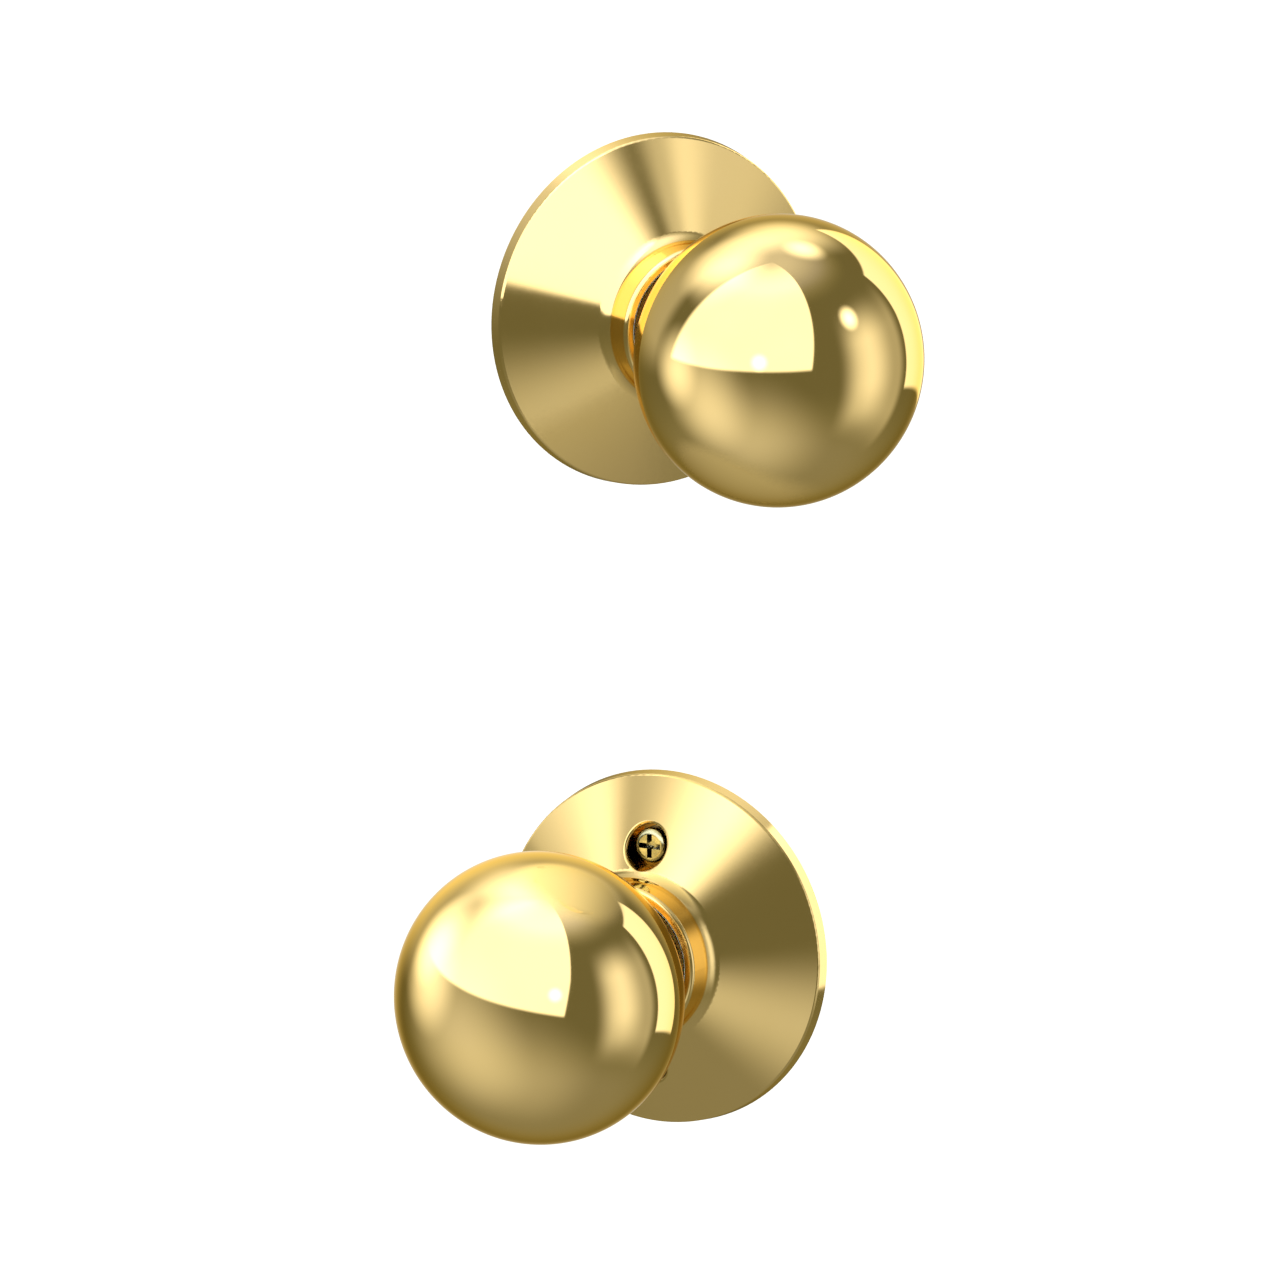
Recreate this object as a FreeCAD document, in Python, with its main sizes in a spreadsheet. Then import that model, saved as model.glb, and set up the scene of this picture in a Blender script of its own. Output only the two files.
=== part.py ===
import FreeCAD, Part
import math
import os

import Sketcher

# A passage knob set for a door, off the door: an outside half and an inside half, each a ball knob
# that turns in a round conical rose. Millimetres.
#
# Each half is modelled in its own frame, the half frame: its origin is the middle of the rose's
# back face, +Z runs along the turning axis from the door's face out through the knob, and +Y is up.
# The part's frame is +Z up, with its origin at the middle of the inside rose's back face. The inside
# knob points along -Y. The outside half hangs above it, turned about Z.

SIZES = {
    # Rose: a cone drawn from brass sheet, with a rim below and a rolled collar above.
    "rose_radius": 32.8,
    "rim_radius": 32.5,
    "rim_height": 2.64,
    "rim_round": 0.6,
    "cone_rise": 0.512,  # along the axis, for each millimetre of radius
    "cone_sheet": 1.12,  # thickness of the cone, along the axis
    "sheet": 1.0,
    "overcut": 1.0,  # how far a cutting shape runs on past the face that it opens
    "collar_radius": 14.8,
    "collar_fillet": 3.6,
    "lip_height": 18.6,
    "lip_round": 0.9,
    "lip_radius": 13.0,
    "lip_inner_round": 0.3,
    "tab_width": 6.0,
    "tab_reach": 28.0,
    "tab_thick": 0.75,
    # Screws of the inside half, the cups that they sink into, and the posts that they screw into.
    "fixing_radius": 20.0,
    "cup_radius": 4.0,
    "cup_floor": 5.0,
    "cup_mouth_round": 0.5,
    "screw_hole": 2.3,
    "screw_radius": 1.95,
    "screw_shank": 1.75,
    "screw_tip": -28.0,
    "screw_point": 0.9,
    "head_radius": 3.25,
    "head_top": 7.4,
    "head_round": 1.1,
    "cross_width": 1.0,
    "cross_length": 4.4,
    "cross_depth": 1.5,
    "post_radius": 4.0,
    "post_end": -24.0,
    "post_spigot": 3.0,
    "post_head": 4.2,
    "post_thread": 1.65,
    "post_thread_depth": 18.0,
    # Mounting plate, held in the rose by its crimped tabs.
    "plate_back": 0.8,
    "plate_front": 2.4,
    "plate_radius": 29.5,
    "boss_radius": 4.8,
    "boss_top": 3.95,
    "rivet_offset": 17.2,
    "rivet_radius": 1.5,
    "rivet_head": 2.6,
    "rivet_foot": 2.4,
    "rivet_back": 0.1,
    # Spring cage, riveted to the plate.
    "cage_radius": 14.4,
    "cage_front": 11.0,
    "ear_length": 20.5,
    "ear_width": 8.0,
    "lug_width": 5.0,
    "cage_lug_near": 11.05,
    "cage_lug_far": 11.65,
    "cage_lug_back": 5.6,
    "stop_circle": 12.5,
    "stop_radius": 1.3,
    "stop_angle": 73.5,
    # Driver, the cam that the shank turns against the spring.
    "driver_back": 2.7,
    "driver_front": 5.2,
    "driver_radius": 10.4,
    "driver_reach": 12.9,
    "finger_near": 12.2,
    "finger_top": 9.4,
    # Return spring: a coil whose two legs straddle the cage's lug and the driver's finger.
    "spring_radius": 10.3,
    "spring_wire": 0.6,
    "spring_back": 6.2,
    "spring_pitch": 1.25,
    "spring_leg_angle": 17.5,
    "spring_leg_end": 13.1,
    # Shank: the steel tube that carries the knob and takes the square spindle.
    "shank_radius": 9.0,
    "shank_back": -2.6,
    "shank_front": 41.0,
    "shank_bore": 6.0,
    "socket_width": 8.1,
    "socket_end": 14.0,
    "flat_offset": 7.9,
    "flat_end": 5.3,
    "running_gap": 0.08,
    "close_gap": 0.02,
    "groove_radius": 8.15,
    "groove_back": -1.25,
    "groove_front": -0.15,
    "ring_radius": 11.5,
    "ring_gap": 6.0,
    "ring_play": 0.05,
    "washer_radius": 13.0,
    "washer_back": -0.1,
    "washer_front": 0.72,
    "wave_inner": 9.4,
    "wave_outer": 12.1,
    "wave_middle": 12.1,
    "wave_height": 0.75,
    "wave_sheet": 0.35,
    # Knob: a hollow ball, a little flattened, on a straight neck over a cast core.
    "ball_radius": 27.0,
    "ball_side": 24.2,
    "ball_half_length": 25.2,
    "ball_middle": 51.3,
    "ball_wall": 1.2,
    "neck_radius": 12.3,
    "neck_back": 13.2,
    "neck_front": 27.0,
    "neck_fillet": 2.5,
    "core_waist": 30.0,
    "core_shoulder": 13.0,
    "core_shoulder_height": 36.0,
    "core_disc": 22.0,
    "core_disc_back": 39.0,
    "pin_radius": 1.48,
    "pin_height": 20.0,
    "pin_half_length": 11.1,
    # Bushing that the neck turns in, held in the collar.
    "bushing_back": 11.1,
    # Spindle, in the outside half, and the pin that holds it in the shank.
    "spindle_width": 7.9,
    "spindle_end": -47.0,
    "spindle_front": 13.6,
    "spindle_chamfer": 0.8,
    "spindle_pin_radius": 0.78,
    "spindle_pin_height": 12.1,
    "spindle_pin_half_length": 8.8,
    # Where the outside half hangs, seen from the inside half.
    "outside_turn": 54.6,
    "outside_x": -2.84,
    "outside_y": -1.47,
    "outside_z": 119.4,
}

UPPER_AND_LOWER = (1, -1)
LEFT_AND_RIGHT = (-1, 1)
TAB_ANGLES = (30, 150, 270)
WAVES = 3
POINTS_PER_WAVE = 8
SAME = 0.01  # two lengths this close are taken as one when an edge is looked for

doc = FreeCAD.newDocument("knob_set")
sheet = doc.addObject("Spreadsheet::Sheet", "Sizes")
for row, (alias, size) in enumerate(SIZES.items(), start=1):
    sheet.set("A%d" % row, alias)
    sheet.set("B%d" % row, str(size))
    sheet.setAlias("B%d" % row, alias)
doc.recompute()

nodes = []


def dim(name):
    """The expression that reads one cell of the sheet."""
    return "Sizes." + name


def value(expression):
    """What an expression comes to now, as a plain number."""
    return float(sheet.evalExpression(str(expression)))


def size(name):
    """One driving dimension, as a plain number."""
    return value(dim(name))


# ---------------------------------------------------------------- bodies, sketches and features


def new_body(label):
    body = doc.addObject("PartDesign::Body", label)
    body.Label = label
    return body


def new_sketch(body, plane, level="0"):
    """An empty sketch on one of the body's own origin planes, moved out along its normal."""
    sketch = body.newObject("Sketcher::SketchObject", "Sketch")
    support = next(f for f in body.Origin.OriginFeatures if f.Role == plane)
    sketch.AttachmentSupport = [(support, "")]
    sketch.MapMode = "FlatFace"
    sketch.setExpression("AttachmentOffset.Base.z", level)
    return sketch


def bind_point(sketch, geometry, point, x, y):
    """Dimensions one point of a sketch from the sketch's origin."""
    for kind, text, axis in (("DistanceX", x, -2), ("DistanceY", y, -1)):
        if text == "0":
            sketch.addConstraint(Sketcher.Constraint("PointOnObject", geometry, point, axis))
            continue
        row = sketch.addConstraint(Sketcher.Constraint(kind, -1, 1, geometry, point, value(text)))
        sketch.setExpression("Constraints[%d]" % row, text)


def outline(body, plane, corners, level="0"):
    """A sketch of one closed outline of straight lines, its corners given as pairs of expressions."""
    sketch = new_sketch(body, plane, level)
    draw_outline(sketch, corners)
    return sketch


def draw_outline(sketch, corners):
    first = sketch.GeometryCount
    places = [FreeCAD.Vector(value(x), value(y), 0) for x, y in corners]
    for start, end in zip(places, places[1:] + places[:1]):
        sketch.addGeometry(Part.LineSegment(start, end), False)
    last = first + len(corners) - 1
    for line in range(first, last):
        sketch.addConstraint(Sketcher.Constraint("Coincident", line, 2, line + 1, 1))
    sketch.addConstraint(Sketcher.Constraint("Coincident", last, 2, first, 1))
    for line, (x, y) in enumerate(corners, start=first):
        bind_point(sketch, line, 1, x, y)


def rectangle(low_x, low_y, high_x, high_y):
    return [(low_x, low_y), (high_x, low_y), (high_x, high_y), (low_x, high_y)]


def circles(body, plane, rounds, level="0"):
    """A sketch of circles, each given as the expressions of its middle and its radius."""
    sketch = new_sketch(body, plane, level)
    for x, y, radius in rounds:
        middle = FreeCAD.Vector(value(x), value(y), 0)
        normal = FreeCAD.Vector(0, 0, 1)
        row = sketch.addGeometry(Part.Circle(middle, normal, value(radius)), False)
        rule = sketch.addConstraint(Sketcher.Constraint("Radius", row, value(radius)))
        sketch.setExpression("Constraints[%d]" % rule, radius)
        bind_point(sketch, row, 3, x, y)
    return sketch


def feature(body, kind, sketch):
    """A sketched feature on a body, with the body's shape brought up to date before it."""
    doc.recompute()
    added = body.newObject("PartDesign::" + kind, kind)
    added.Profile = (sketch, [""])
    return added


def turned(body, kind, corners):
    """A Revolution or Groove about the half's axis: the corners are pairs of radius and height."""
    return turned_sketch(body, kind, outline(body, "XZ_Plane", corners))


def turned_sketch(body, kind, sketch):
    """Turns a sketch about its own vertical axis, right round."""
    added = feature(body, kind, sketch)
    added.ReferenceAxis = (sketch, ["V_Axis"])
    added.Angle = 360
    return added


def pad(body, sketch, length):
    added = feature(body, "Pad", sketch)
    added.setExpression("Length", length)
    return added


def pocket(body, sketch, length):
    """A pocket cut from the sketch's plane along its normal, the way that a pad would grow."""
    added = feature(body, "Pocket", sketch)
    added.setExpression("Length", length)
    added.Reversed = True
    return added


def cross_hole(body, height, radius):
    """A round hole through the body from side to side, along X, at one height."""
    sketch = circles(body, "YZ_Plane", [("0", height, radius)])
    added = feature(body, "Pocket", sketch)
    added.Type = "ThroughAll"
    added.Midplane = True
    return added


def ring_edges(shape, radius, height):
    """The names of the circular edges about the half's axis with one radius, at one height."""
    names = []
    for number, edge in enumerate(shape.Edges, start=1):
        if edge.Degenerated or not isinstance(edge.Curve, Part.Circle):
            continue
        curve = edge.Curve
        off_axis = math.hypot(curve.Center.x, curve.Center.y)
        differences = (off_axis, abs(curve.Radius - radius), abs(curve.Center.z - height))
        if max(differences) < SAME:
            names.append("Edge%d" % number)
    if not names:
        raise ValueError("no edge of radius %.2f at height %.2f" % (radius, height))
    return names


def rounded(body, radius, height, fillet):
    """Rounds the circular edge of a turned body that has one radius and height."""
    doc.recompute()
    base = body.Tip
    added = body.newObject("PartDesign::Fillet", "Fillet")
    added.Base = (base, ring_edges(base.Shape, value(radius), value(height)))
    added.setExpression("Radius", fillet)
    return added


def ring(label, inner, outer, low, high):
    """A plain ring about the half's axis."""
    body = new_body(label)
    turned(body, "Revolution", rectangle(inner, low, outer, high))
    return body


def cut(label, base, tool):
    """A Part::Cut: the base with the tool taken away."""
    made = doc.addObject("Part::Cut", label)
    made.Base = base
    made.Tool = tool
    return made


def fused(label, members):
    """A Part::MultiFuse of several objects."""
    made = doc.addObject("Part::MultiFuse", label)
    made.Shapes = members
    return made


def group(label, members):
    """One node of several equal solids."""
    made = doc.addObject("Part::Compound", label)
    made.Label = label
    made.Links = members
    return made


# ---------------------------------------------------------------- rose and what it holds

CONE_TOP = "Sizes.rim_height + (Sizes.rim_radius - Sizes.collar_radius) * Sizes.cone_rise"
CONE_TOP_INSIDE = CONE_TOP + " + Sizes.sheet * Sizes.cone_rise - Sizes.cone_sheet"
COLLAR_INSIDE = "Sizes.collar_radius - Sizes.sheet"


def rose_form(name):
    """The rose's outer form, filled."""
    body = new_body(name + "_form")
    corners = [
        ("0", "0"),
        (dim("rose_radius"), "0"),
        (dim("rim_radius"), dim("rim_height")),
        (dim("collar_radius"), CONE_TOP),
        (dim("collar_radius"), dim("lip_height")),
        ("0", dim("lip_height")),
    ]
    turned(body, "Revolution", corners)
    rounded(body, dim("rim_radius"), dim("rim_height"), dim("rim_round"))
    rounded(body, dim("collar_radius"), CONE_TOP, dim("collar_fillet"))
    rounded(body, dim("collar_radius"), dim("lip_height"), dim("lip_round"))
    return body


def rose_hollow(name):
    """The space inside the rose, which runs out through its back and through the lip."""
    body = new_body(name + "_hollow")
    corners = [
        ("0", "-Sizes.overcut"),
        ("Sizes.rose_radius - Sizes.sheet", "-Sizes.overcut"),
        (
            "Sizes.rim_radius - Sizes.sheet",
            "Sizes.rim_height + Sizes.sheet * Sizes.cone_rise - Sizes.cone_sheet",
        ),
        (COLLAR_INSIDE, CONE_TOP_INSIDE),
        (COLLAR_INSIDE, "Sizes.lip_height - Sizes.sheet"),
        (dim("lip_radius"), "Sizes.lip_height - Sizes.sheet"),
        (dim("lip_radius"), "Sizes.lip_height + Sizes.overcut"),
        ("0", "Sizes.lip_height + Sizes.overcut"),
    ]
    turned(body, "Revolution", corners)
    rounded(body, COLLAR_INSIDE, CONE_TOP_INSIDE, "Sizes.collar_fillet + Sizes.sheet")
    return body


def rose_tab(name, angle):
    """A crimped tab: it runs in from the rim, behind the mounting plate."""
    tab = doc.addObject("Part::Box", name + "_tab")
    tab.setExpression("Length", "Sizes.rim_radius - Sizes.sheet / 2 - Sizes.tab_reach")
    tab.setExpression("Width", dim("tab_width"))
    tab.setExpression("Height", dim("tab_thick"))
    turn = FreeCAD.Rotation(FreeCAD.Vector(0, 0, 1), angle)
    corner = FreeCAD.Vector(size("tab_reach"), -size("tab_width") / 2, 0)
    tab.Placement = FreeCAD.Placement(turn.multVec(corner), turn)
    return tab


def upright_cylinder(name, y, radius, low, high):
    """A cylinder along the half's axis, at one height above it."""
    made = doc.addObject("Part::Cylinder", name)
    made.setExpression("Radius", radius)
    made.setExpression("Height", "%s - (%s)" % (high, low))
    made.setExpression("Placement.Base.y", y)
    made.setExpression("Placement.Base.z", low)
    return made


def fixing_cylinders(name, radius, low, high):
    """A cylinder along the axis of each mounting screw, above and below the collar."""
    rounds = [
        upright_cylinder(name, "%d * Sizes.fixing_radius" % side, radius, low, high)
        for side in UPPER_AND_LOWER
    ]
    return fused(name + "_pair", rounds)


def rose_shell(name, with_cups):
    """The drawn cone with its rim, collar and lip, the tabs that hold the plate, and any cups."""
    hollow = rose_hollow(name)
    if with_cups:
        under_floor = "Sizes.cup_floor - Sizes.sheet"
        cup_wall = "Sizes.cup_radius + Sizes.sheet"
        cups = fixing_cylinders(name + "_cup", cup_wall, under_floor, dim("lip_height"))
        hollow = cut(name + "_hollow_round_cups", hollow, cups)
    shell = cut(name + "_shell", rose_form(name), hollow)
    whole = fused(name + "_with_tabs", [shell] + [rose_tab(name, angle) for angle in TAB_ANGLES])
    if not with_cups:
        return whole
    wells = fixing_cylinders(name + "_well", dim("cup_radius"), dim("cup_floor"), dim("lip_height"))
    drilled = cut(name + "_with_wells", whole, wells)
    holes = fixing_cylinders(name + "_hole", dim("screw_hole"), "0", "Sizes.cup_floor + Sizes.overcut")
    return cut(name + "_with_holes", drilled, holes)


def mouth_edges(shape):
    """The edges where the cups' wells break out through the cone's face."""
    found = []
    for number, edge in enumerate(shape.Edges, start=1):
        on_well = all(
            abs(math.hypot(v.Point.x, abs(v.Point.y) - size("fixing_radius")) - size("cup_radius")) < SAME
            for v in edge.Vertexes
        )
        box = edge.BoundBox
        upright = box.XLength < SAME and box.YLength < SAME
        if on_well and not upright and box.ZMin > size("cup_floor") + 0.5:
            found.append(number)
    return found


def make_rose(label, with_cups):
    """The rose: the inside one has a cup for each screw, the outside one is plain."""
    shell = rose_shell(label, with_cups)
    doc.recompute()
    shape = shell.Shape
    lip = ring_edges(shape, size("lip_radius"), size("lip_height"))
    rounds = [(int(name[4:]), size("lip_inner_round")) for name in lip]
    if with_cups:
        rounds += [(number, size("cup_mouth_round")) for number in mouth_edges(shape)]
    rose = doc.addObject("Part::Fillet", label)
    rose.Label = label
    rose.Base = shell
    rose.Edges = [(number, radius, radius) for number, radius in rounds]
    return rose


def make_bushing(label):
    """The nylon ring in the collar that the knob's neck turns in."""
    inner = "Sizes.neck_radius + Sizes.running_gap"
    outer = COLLAR_INSIDE + " - Sizes.close_gap"
    front = "Sizes.lip_height - Sizes.sheet - Sizes.running_gap"
    return ring(label, inner, outer, dim("bushing_back"), front)


def fixing_rounds(radius):
    return [("0", "%d * Sizes.fixing_radius" % side, radius) for side in UPPER_AND_LOWER]


def rivet_rounds(radius):
    return [("%d * Sizes.rivet_offset" % side, "0", radius) for side in LEFT_AND_RIGHT]


def make_mounting_plate(label, with_bosses):
    """The steel disc that carries the mechanism: bosses back up the screw cups, spigots hold posts."""
    body = new_body(label)
    thickness = "Sizes.plate_front - Sizes.plate_back"
    disc = circles(body, "XY_Plane", [("0", "0", dim("plate_radius"))], dim("plate_back"))
    pad(body, disc, thickness)
    fixing = "Sizes.post_spigot + Sizes.close_gap"
    if with_bosses:
        fixing = dim("screw_hole")
        bosses = circles(body, "XY_Plane", fixing_rounds(dim("boss_radius")), dim("plate_front"))
        pad(body, bosses, "Sizes.boss_top - Sizes.plate_front")
    holes = [("0", "0", "Sizes.shank_radius + Sizes.running_gap")]
    holes += fixing_rounds(fixing)
    holes += rivet_rounds("Sizes.rivet_radius + Sizes.close_gap")
    drilled = circles(body, "XY_Plane", holes, dim("plate_back"))
    pocket(body, drilled, "Sizes.boss_top - Sizes.plate_back")
    return body


def make_spring_cage(label):
    """The pressed cup round the spring, with two ears, a fixed lug and two stops."""
    body = new_body(label)
    inside = "Sizes.cage_radius - Sizes.sheet"
    bore = "Sizes.shank_radius + Sizes.running_gap"
    inner_front = "Sizes.cage_front - Sizes.sheet"
    turned(body, "Revolution", [
        (dim("cage_radius"), dim("plate_front")),
        (dim("cage_radius"), dim("cage_front")),
        (bore, dim("cage_front")),
        (bore, inner_front),
        (inside, inner_front),
        (inside, dim("plate_front")),
    ])
    ears = new_sketch(body, "XY_Plane", dim("plate_front"))
    for side in LEFT_AND_RIGHT:
        near = "%d * (Sizes.cage_radius - Sizes.sheet / 2)" % side
        far = "%d * Sizes.ear_length" % side
        draw_outline(ears, rectangle(near, "-Sizes.ear_width / 2", far, "Sizes.ear_width / 2"))
    pad(body, ears, dim("sheet"))
    rivets = rivet_rounds("Sizes.rivet_radius + Sizes.close_gap")
    pocket(body, circles(body, "XY_Plane", rivets, dim("plate_front")), dim("sheet"))
    half = "Sizes.lug_width / 2"
    lug = rectangle("-" + half, "-Sizes.cage_lug_far", half, "-Sizes.cage_lug_near")
    lug_sketch = outline(body, "XY_Plane", lug, dim("cage_lug_back"))
    pad(body, lug_sketch, "Sizes.cage_front - Sizes.sheet / 2 - Sizes.cage_lug_back")
    stops = [
        (
            "%d * Sizes.stop_circle * sin(Sizes.stop_angle * 1 deg)" % side,
            "-Sizes.stop_circle * cos(Sizes.stop_angle * 1 deg)",
            dim("stop_radius"),
        )
        for side in LEFT_AND_RIGHT
    ]
    stop_sketch = circles(body, "XY_Plane", stops, dim("plate_front"))
    pad(body, stop_sketch, "Sizes.driver_front - Sizes.plate_front")
    return body


def make_rivet(label, side):
    body = new_body(label)
    turned(body, "Revolution", [
        ("0", dim("rivet_back")),
        (dim("rivet_foot"), dim("rivet_back")),
        (dim("rivet_foot"), "Sizes.plate_back - Sizes.close_gap"),
        (dim("rivet_radius"), "Sizes.plate_back - Sizes.close_gap"),
        (dim("rivet_radius"), "Sizes.plate_front + Sizes.sheet + Sizes.close_gap"),
        (dim("rivet_head"), "Sizes.plate_front + Sizes.sheet + Sizes.close_gap"),
        (dim("rivet_head"), "Sizes.plate_front + 2 * Sizes.sheet"),
        ("0", "Sizes.plate_front + 2 * Sizes.sheet"),
    ])
    rounded(body, dim("rivet_head"), "Sizes.plate_front + 2 * Sizes.sheet", "Sizes.sheet / 2")
    body.setExpression("Placement.Base.x", "%d * Sizes.rivet_offset" % side)
    return body


def make_cage_rivets(label):
    return group(label, [make_rivet(label + "_one", side) for side in LEFT_AND_RIGHT])


def make_return_spring(label):
    """A coil of just under two turns with a straight leg out from each end."""
    radius = size("spring_radius")
    wire = size("spring_wire")
    pitch = size("spring_pitch")
    lean = size("spring_leg_angle")
    turns = 2 - 2 * lean / 360
    helix = Part.makeHelix(pitch, turns * pitch, radius)
    start = FreeCAD.Vector(radius, 0, 0)
    along = FreeCAD.Vector(0, 2 * math.pi * radius, pitch)
    section = Part.Wire(Part.makeCircle(wire, start, along))
    coil = Part.Wire(helix.Edges).makePipeShell([section], True, True)
    parts = [coil]
    for angle, height in ((0, 0), (-2 * lean, turns * pitch)):
        out = FreeCAD.Vector(math.cos(math.radians(angle)), math.sin(math.radians(angle)), 0)
        corner = out * radius + FreeCAD.Vector(0, 0, height)
        parts.append(Part.makeSphere(wire, corner))
        parts.append(Part.makeCylinder(wire, size("spring_leg_end") - radius, corner, out))
    shape = parts[0].multiFuse(parts[1:])
    spring = doc.addObject("Part::Feature", label)
    spring.Label = label
    spring.Shape = shape
    turn = FreeCAD.Rotation(FreeCAD.Vector(0, 0, 1), lean - 90)
    spring.Placement = FreeCAD.Placement(FreeCAD.Vector(0, 0, size("spring_back")), turn)
    return spring


def make_thrust_washer(label):
    """The nylon washer between the plate and the retaining ring."""
    inner = "Sizes.shank_radius + 2 * Sizes.running_gap"
    return ring(label, inner, dim("washer_radius"), dim("washer_back"), dim("washer_front"))


def cross_corners(near, far):
    """The outline of a cross with four equal arms: three corners for each quarter turn."""
    corners = []
    for x_sign, y_sign in (("", ""), ("-", ""), ("-", "-"), ("", "-")):
        inner = (x_sign + near, y_sign + near)
        quarter = [(x_sign + far, y_sign + near), inner, (x_sign + near, y_sign + far)]
        if (x_sign, y_sign) in (("-", ""), ("", "-")):
            quarter.reverse()
        corners += quarter
    return corners


def make_screw(label, side):
    """A pan-head screw with a cross recess, sunk in a cup of the inside rose."""
    body = new_body(label)
    turned(body, "Revolution", [
        ("0", dim("head_top")),
        (dim("head_radius"), dim("head_top")),
        (dim("head_radius"), dim("cup_floor")),
        (dim("screw_shank"), dim("cup_floor")),
        (dim("screw_shank"), "0"),
        (dim("screw_radius"), "0"),
        (dim("screw_radius"), "Sizes.screw_tip + Sizes.screw_point"),
        ("Sizes.screw_radius - Sizes.screw_point", dim("screw_tip")),
        ("0", dim("screw_tip")),
    ])
    rounded(body, dim("head_radius"), dim("head_top"), dim("head_round"))
    cross = new_sketch(body, "XY_Plane", "Sizes.head_top - Sizes.cross_depth")
    draw_outline(cross, cross_corners("Sizes.cross_width / 2", "Sizes.cross_length / 2"))
    pocket(body, cross, dim("cross_depth"))
    body.setExpression("Placement.Base.y", "%d * Sizes.fixing_radius" % side)
    return body


def make_mounting_screws(label):
    return group(label, [make_screw(label + "_one", side) for side in UPPER_AND_LOWER])


def make_post(label, side):
    """A threaded post, its spigot riveted over on the front of the outside mounting plate."""
    body = new_body(label)
    turned(body, "Revolution", [
        ("0", "Sizes.plate_front + Sizes.sheet"),
        (dim("post_head"), "Sizes.plate_front + Sizes.sheet"),
        (dim("post_head"), "Sizes.plate_front + Sizes.close_gap"),
        (dim("post_spigot"), "Sizes.plate_front + Sizes.close_gap"),
        (dim("post_spigot"), "Sizes.plate_back - Sizes.close_gap"),
        (dim("post_radius"), "Sizes.plate_back - Sizes.close_gap"),
        (dim("post_radius"), dim("post_end")),
        (dim("post_thread"), dim("post_end")),
        (dim("post_thread"), "Sizes.post_end + Sizes.post_thread_depth"),
        ("0", "Sizes.post_end + Sizes.post_thread_depth"),
    ])
    body.setExpression("Placement.Base.y", "%d * Sizes.fixing_radius" % side)
    return body


def make_mounting_posts(label):
    return group(label, [make_post(label + "_one", side) for side in UPPER_AND_LOWER])


# ---------------------------------------------------------------- knob and what turns with it


CROWN_RADIUS = (
    "(pow(Sizes.ball_radius - Sizes.ball_side; 2) + pow(Sizes.ball_half_length; 2)"
    " - pow(Sizes.ball_side; 2)) / (2 * (Sizes.ball_half_length - Sizes.ball_side))"
)


def meeting_height(inset, neck):
    """Where the ball's lower crown meets a neck: the expression of its height along the axis."""
    radius = "(%s - %s)" % (CROWN_RADIUS, inset)
    middle = "Sizes.ball_middle - Sizes.ball_half_length + %s" % CROWN_RADIUS
    return "%s - sqrt(pow(%s; 2) - pow(%s; 2))" % (middle, radius, neck)


def ball_and_neck(body, inset, neck, low):
    """Half the ball's section, inset from its outside, with a straight neck that runs down from it.

    The section is three arcs, each tangent to the next: a crown at each end, about points on the
    axis, and a tighter arc round the side.
    """
    sketch = new_sketch(body, "XZ_Plane")
    upward = FreeCAD.Vector(0, 0, 1)
    crown_radius = value(CROWN_RADIUS)
    crown_drop = FreeCAD.Vector(0, crown_radius - size("ball_half_length"), 0)
    middle = FreeCAD.Vector(0, size("ball_middle"), 0)
    side_middle = middle + FreeCAD.Vector(size("ball_radius") - size("ball_side"), 0, 0)
    lean = math.atan2(crown_drop.y, side_middle.x)
    crown = crown_radius - value(inset)
    joint = math.acos(value(neck) / crown)
    root = FreeCAD.Vector(0, value(low), 0)
    foot = FreeCAD.Vector(value(neck), value(low), 0)
    lower = Part.ArcOfCircle(Part.Circle(middle + crown_drop, upward, crown), -joint, -lean)
    side = Part.ArcOfCircle(
        Part.Circle(side_middle, upward, size("ball_side") - value(inset)), -lean, lean)
    upper = Part.ArcOfCircle(Part.Circle(middle - crown_drop, upward, crown), lean, math.pi / 2)
    for piece in (
        lower,
        side,
        upper,
        Part.LineSegment(upper.EndPoint, root),
        Part.LineSegment(root, foot),
        Part.LineSegment(foot, lower.StartPoint),
    ):
        sketch.addGeometry(piece, False)
    for first, second in ((0, 1), (1, 2)):
        sketch.addConstraint(Sketcher.Constraint("Tangent", first, 2, second, 1))
    for first, second in ((2, 3), (3, 4), (4, 5), (5, 0)):
        sketch.addConstraint(Sketcher.Constraint("Coincident", first, 2, second, 1))
    for crown_arc in (0, 2):
        sketch.addConstraint(Sketcher.Constraint("PointOnObject", crown_arc, 3, -2))
    sketch.addConstraint(Sketcher.Constraint("Equal", 0, 2))
    sketch.addConstraint(Sketcher.Constraint("Vertical", 5))
    rule = sketch.addConstraint(Sketcher.Constraint("Radius", 1, size("ball_side") - value(inset)))
    sketch.setExpression("Constraints[%d]" % rule, "Sizes.ball_side - %s" % inset)
    bind_point(sketch, 1, 3, "Sizes.ball_radius - Sizes.ball_side", dim("ball_middle"))
    bind_point(sketch, 2, 2, "0", "Sizes.ball_middle + Sizes.ball_half_length - %s" % inset)
    bind_point(sketch, 4, 1, "0", low)
    bind_point(sketch, 4, 2, neck, low)
    return sketch


def make_knob_shell(label):
    """The hollow brass ball, spun in one with the flare that meets its neck."""
    body = new_body(label)
    neck = dim("neck_radius")
    turned_sketch(body, "Revolution", ball_and_neck(body, "0", neck, dim("neck_front")))
    rounded(body, neck, meeting_height("0", neck), dim("neck_fillet"))
    hollow = (dim("ball_wall"), "(Sizes.neck_radius - Sizes.sheet)", "Sizes.neck_front - Sizes.overcut")
    turned_sketch(body, "Groove", ball_and_neck(body, *hollow))
    return body


def make_knob_neck(label):
    """The straight brass tube between the bushing and the ball, butted to the ball's flare."""
    inner = "Sizes.neck_radius - Sizes.sheet"
    return ring(label, inner, dim("neck_radius"), dim("neck_back"), dim("neck_front"))


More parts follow.
